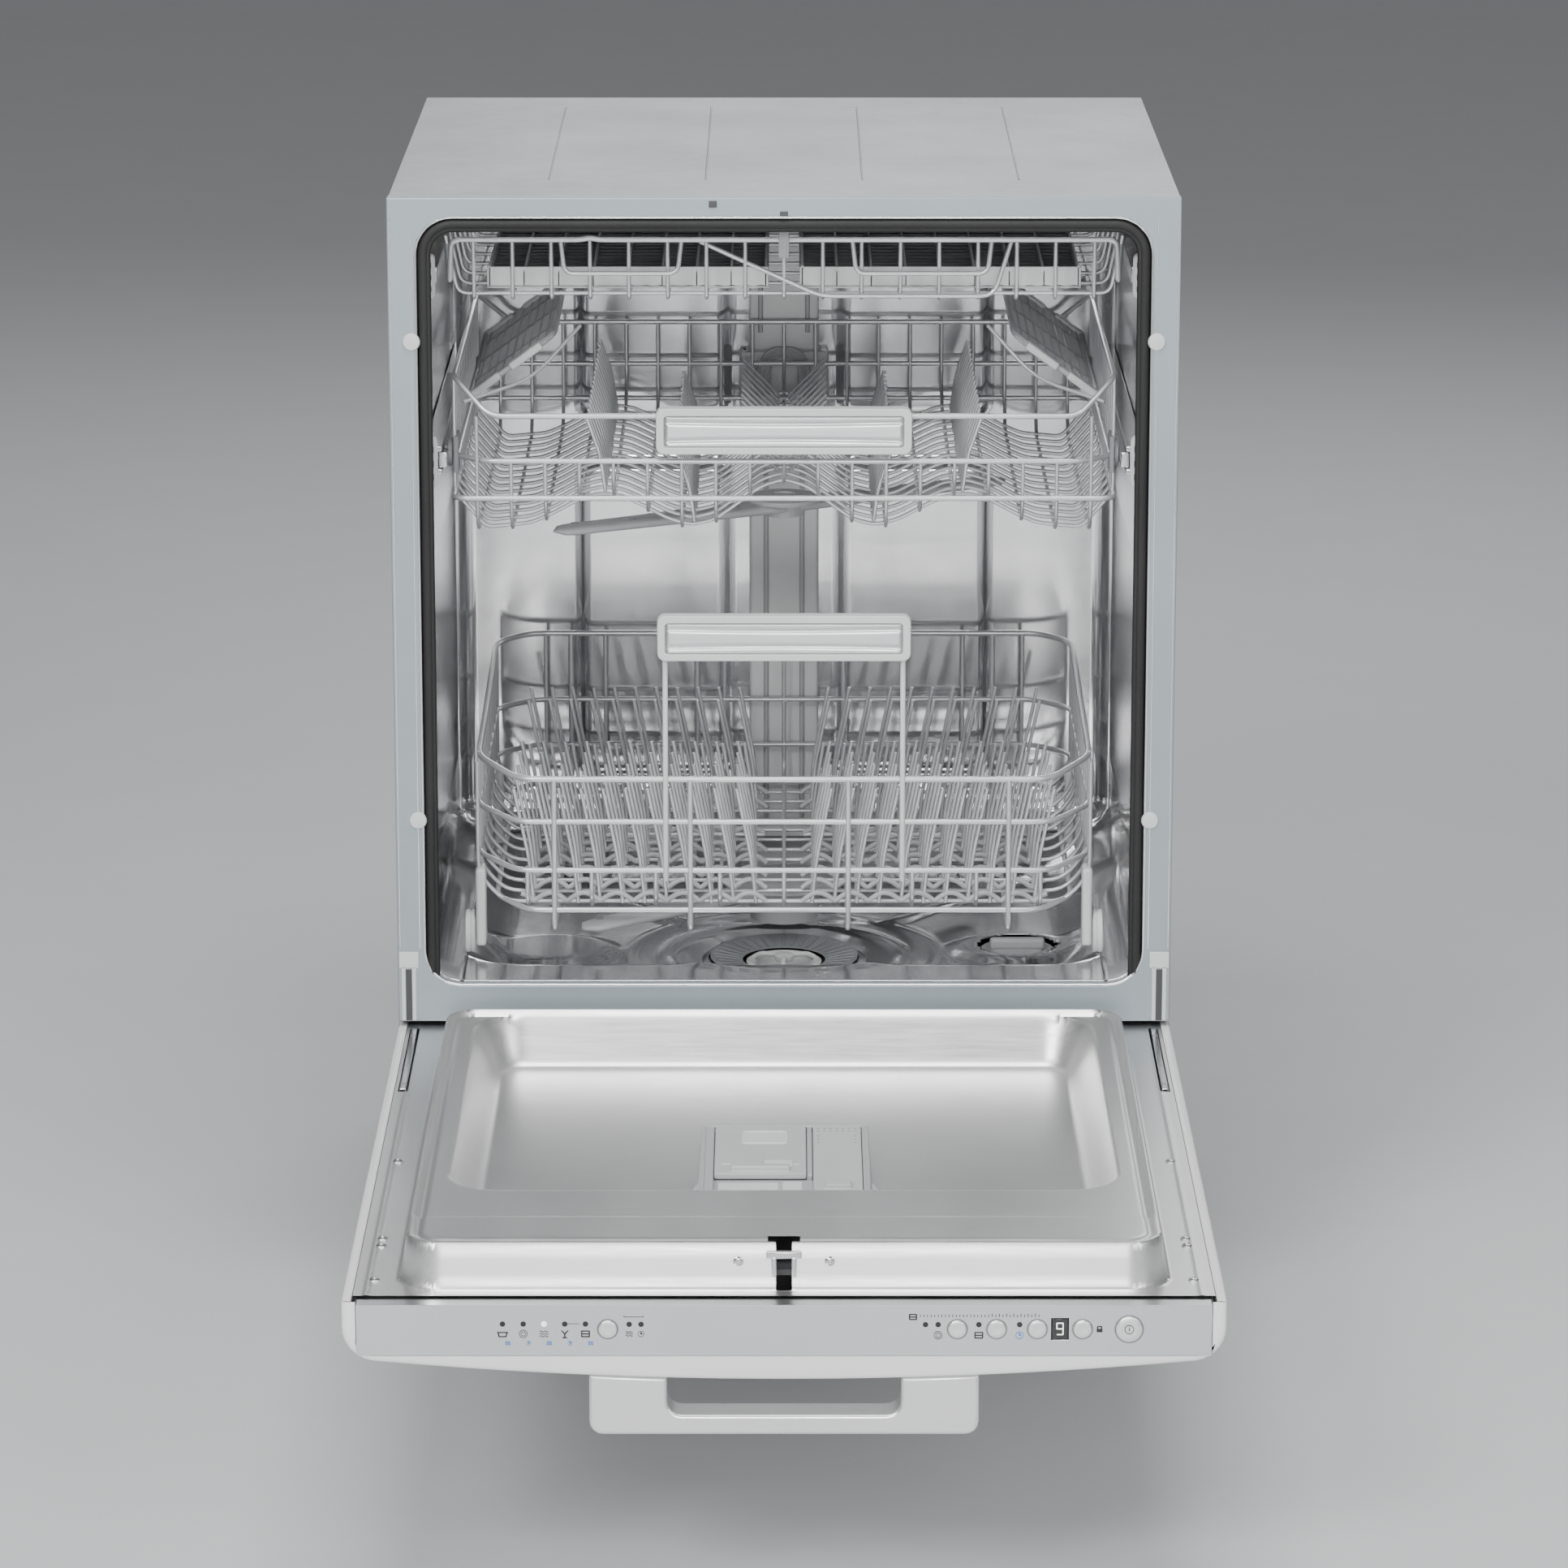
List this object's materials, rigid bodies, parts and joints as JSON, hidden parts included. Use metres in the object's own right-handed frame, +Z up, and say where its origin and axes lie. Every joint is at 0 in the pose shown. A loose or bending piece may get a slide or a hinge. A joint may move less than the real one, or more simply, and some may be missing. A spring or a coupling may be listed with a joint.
{
  "type": "built-in dishwasher",
  "caption": "Built-in dishwasher with a bulged drop-down door, sliding wire baskets, a cutlery tray, spray arms, a dispenser and push buttons.",
  "frame": {"origin": "middle of the footprint of the whole object with the door open, on the floor under the feet", "axes": "+X to the right seen from the front, +Y from the open door towards the cabinet back, +Z up"},
  "size_m": [0.598, 1.214, 0.87],
  "materials": {
    "stainless": "brushed stainless steel, smooth",
    "frame_metal": "coated steel, satin",
    "white_enamel": "white gloss enamel",
    "grey_plastic": "light grey plastic",
    "dark_plastic": "dark grey plastic",
    "white_plastic": "white plastic",
    "seal_rubber": "black rubber",
    "basket_wire": "nylon coated steel wire",
    "satin_metal": "satin aluminium",
    "display_glass": "black display window"
  },
  "bodies": {
    "cabinet": {"tub": "stainless", "front_frame": "frame_metal", "tub_gasket": "seal_rubber", "strike": "stainless", "outer_casing": "frame_metal", "base_housing": "dark_plastic", "base_front_plate": "frame_metal", "door_spring_left": "stainless", "door_spring_right": "stainless", "sump": "dark_plastic", "circulation_pump": "dark_plastic", "drain_pump": "grey_plastic", "softener_tank": "grey_plastic", "water_duct": "grey_plastic", "basket_rail_left": "stainless", "basket_rail_right": "stainless", "tray_rail_left": "stainless", "tray_rail_right": "stainless"},
    "door": {"door_outer_panel": "white_enamel", "door_liner": "stainless", "control_fascia": "stainless", "door_handle": "satin_metal", "display": "display_glass", "dispenser_housing": "grey_plastic", "door_latch": "dark_plastic", "hinge_arm_left": "stainless", "hinge_arm_right": "stainless"},
    "lower_basket": {"lower_basket": "basket_wire", "lower_basket_handle": "grey_plastic"},
    "front_wheels": {"wheel_front_left": "grey_plastic", "wheel_front_right": "grey_plastic"},
    "rear_wheels": {"wheel_rear_left": "grey_plastic", "wheel_rear_right": "grey_plastic"},
    "upper_basket": {"upper_basket": "basket_wire", "upper_basket_handle": "grey_plastic"},
    "runners": {"runner_left": "stainless", "runner_right": "stainless"},
    "cutlery_tray": {"cutlery_tray": "basket_wire", "tray_insert_left": "grey_plastic", "tray_insert_right": "grey_plastic"},
    "lower_spray_arm": {"lower_spray_arm": "grey_plastic"},
    "middle_spray_arm": {"middle_spray_arm": "grey_plastic"},
    "cup_shelf_left": {"cup_shelf_left": "dark_plastic"},
    "cup_shelf_right": {"cup_shelf_right": "dark_plastic"},
    "tine_rack_left": {"tine_rack_left": "basket_wire"},
    "tine_rack_right": {"tine_rack_right": "basket_wire"},
    "salt_cap": {"salt_cap": "grey_plastic"},
    "micro_filter": {"micro_filter": "grey_plastic"},
    "dispenser_lid": {"dispenser_lid": "white_plastic"},
    "rinse_aid_flap": {"rinse_aid_flap": "white_plastic"},
    "button_1": {"button_1": "satin_metal"},
    "button_2": {"button_2": "satin_metal"},
    "button_3": {"button_3": "satin_metal"},
    "button_4": {"button_4": "satin_metal"},
    "button_5": {"button_5": "satin_metal"},
    "button_6": {"button_6": "satin_metal"},
    "foot_front_left": {"foot_front_left": "dark_plastic"},
    "foot_front_right": {"foot_front_right": "dark_plastic"},
    "foot_rear_left": {"foot_rear_left": "dark_plastic"},
    "foot_rear_right": {"foot_rear_right": "dark_plastic"}
  },
  "joints": [
    {"name": "door_hinge", "type": "hinge", "parent": "cabinet", "child": "door", "pos_m": [0, 0.047, 0.214], "axis": [1, 0, 0], "range_deg": [-90, 0]},
    {"name": "lower_basket_slide", "type": "slide", "parent": "cabinet", "child": "lower_basket", "axis": [0, -1, 0], "range_m": [0, 0.43]},
    {"name": "front_wheels_roll", "type": "hinge", "parent": "lower_basket", "child": "front_wheels", "pos_m": [0, 0.147, 0.2745], "axis": [1, 0, 0], "range_deg": [-5, 1500]},
    {"name": "rear_wheels_roll", "type": "hinge", "parent": "lower_basket", "child": "rear_wheels", "pos_m": [0, 0.465, 0.2745], "axis": [1, 0, 0], "range_deg": [-5, 1500]},
    {"name": "upper_basket_slide", "type": "slide", "parent": "cabinet", "child": "upper_basket", "axis": [0, -1, 0], "range_m": [0, 0.43]},
    {"name": "runner_slide", "type": "slide", "parent": "cabinet", "child": "runners", "axis": [0, -1, 0], "range_m": [0, 0.216]},
    {"name": "cutlery_tray_slide", "type": "slide", "parent": "cabinet", "child": "cutlery_tray", "axis": [0, -1, 0], "range_m": [0, 0.4]},
    {"name": "lower_spray_arm_spin", "type": "hinge", "parent": "cabinet", "child": "lower_spray_arm", "pos_m": [0, 0.302, 0.266], "axis": [0, 0, 1], "continuous": true},
    {"name": "middle_spray_arm_spin", "type": "hinge", "parent": "upper_basket", "child": "middle_spray_arm", "pos_m": [0, 0.302, 0.58], "axis": [0, 0, 1], "continuous": true},
    {"name": "cup_shelf_left_fold", "type": "hinge", "parent": "upper_basket", "child": "cup_shelf_left", "pos_m": [-0.245, 0.317, 0.695], "axis": [0, -1, 0], "range_deg": [-36, 44]},
    {"name": "cup_shelf_right_fold", "type": "hinge", "parent": "upper_basket", "child": "cup_shelf_right", "pos_m": [0.245, 0.317, 0.695], "axis": [0, 1, 0], "range_deg": [-36, 44]},
    {"name": "tine_rack_left_fold", "type": "hinge", "parent": "lower_basket", "child": "tine_rack_left", "pos_m": [-0.12, 0.319, 0.308], "axis": [-1, 0, 0], "range_deg": [0, 80]},
    {"name": "tine_rack_right_fold", "type": "hinge", "parent": "lower_basket", "child": "tine_rack_right", "pos_m": [0.12, 0.319, 0.308], "axis": [-1, 0, 0], "range_deg": [0, 80]},
    {"name": "salt_cap_turn", "type": "hinge", "parent": "cabinet", "child": "salt_cap", "pos_m": [0.187, 0.233, 0.231], "axis": [0, 0, 1], "range_deg": [0, 270]},
    {"name": "micro_filter_turn", "type": "hinge", "parent": "cabinet", "child": "micro_filter", "pos_m": [0, 0.214, 0.231], "axis": [0, 0, 1], "range_deg": [0, 90]},
    {"name": "dispenser_lid_slide", "type": "slide", "parent": "door", "child": "dispenser_lid", "axis": [0, -1, 0], "range_m": [0, 0.038]},
    {"name": "rinse_aid_flap_hinge", "type": "hinge", "parent": "door", "child": "rinse_aid_flap", "pos_m": [0.0385, -0.225, 0.229], "axis": [1, 0, 0], "range_deg": [-95, 0]},
    {"name": "button_1_press", "type": "slide", "parent": "door", "child": "button_1", "axis": [0, 1, 0], "range_m": [0, 0.0015], "stiffness_N_per_m": 400},
    {"name": "button_2_press", "type": "slide", "parent": "door", "child": "button_2", "axis": [0, 1, 0], "range_m": [0, 0.0015], "stiffness_N_per_m": 400},
    {"name": "button_3_press", "type": "slide", "parent": "door", "child": "button_3", "axis": [0, 1, 0], "range_m": [0, 0.0015], "stiffness_N_per_m": 400},
    {"name": "button_4_press", "type": "slide", "parent": "door", "child": "button_4", "axis": [0, 1, 0], "range_m": [0, 0.0015], "stiffness_N_per_m": 400},
    {"name": "button_5_press", "type": "slide", "parent": "door", "child": "button_5", "axis": [0, 1, 0], "range_m": [0, 0.0015], "stiffness_N_per_m": 400},
    {"name": "button_6_press", "type": "slide", "parent": "door", "child": "button_6", "axis": [0, 1, 0], "range_m": [0, 0.0015], "stiffness_N_per_m": 400},
    {"name": "foot_front_left_height", "type": "slide", "parent": "cabinet", "child": "foot_front_left", "axis": [0, 0, -1], "range_m": [-0.012, 0.02]},
    {"name": "foot_front_right_height", "type": "slide", "parent": "cabinet", "child": "foot_front_right", "axis": [0, 0, -1], "range_m": [-0.012, 0.02]},
    {"name": "foot_rear_left_height", "type": "slide", "parent": "cabinet", "child": "foot_rear_left", "axis": [0, 0, -1], "range_m": [-0.012, 0.02]},
    {"name": "foot_rear_right_height", "type": "slide", "parent": "cabinet", "child": "foot_rear_right", "axis": [0, 0, -1], "range_m": [-0.012, 0.02]}
  ],
  "couplings": [
    {"joint": "front_wheels_roll", "follows": "lower_basket_slide", "rad_per_m": 58.824},
    {"joint": "rear_wheels_roll", "follows": "lower_basket_slide", "rad_per_m": 58.824},
    {"joint": "runner_slide", "follows": "upper_basket_slide", "ratio": 0.5}
  ]
}
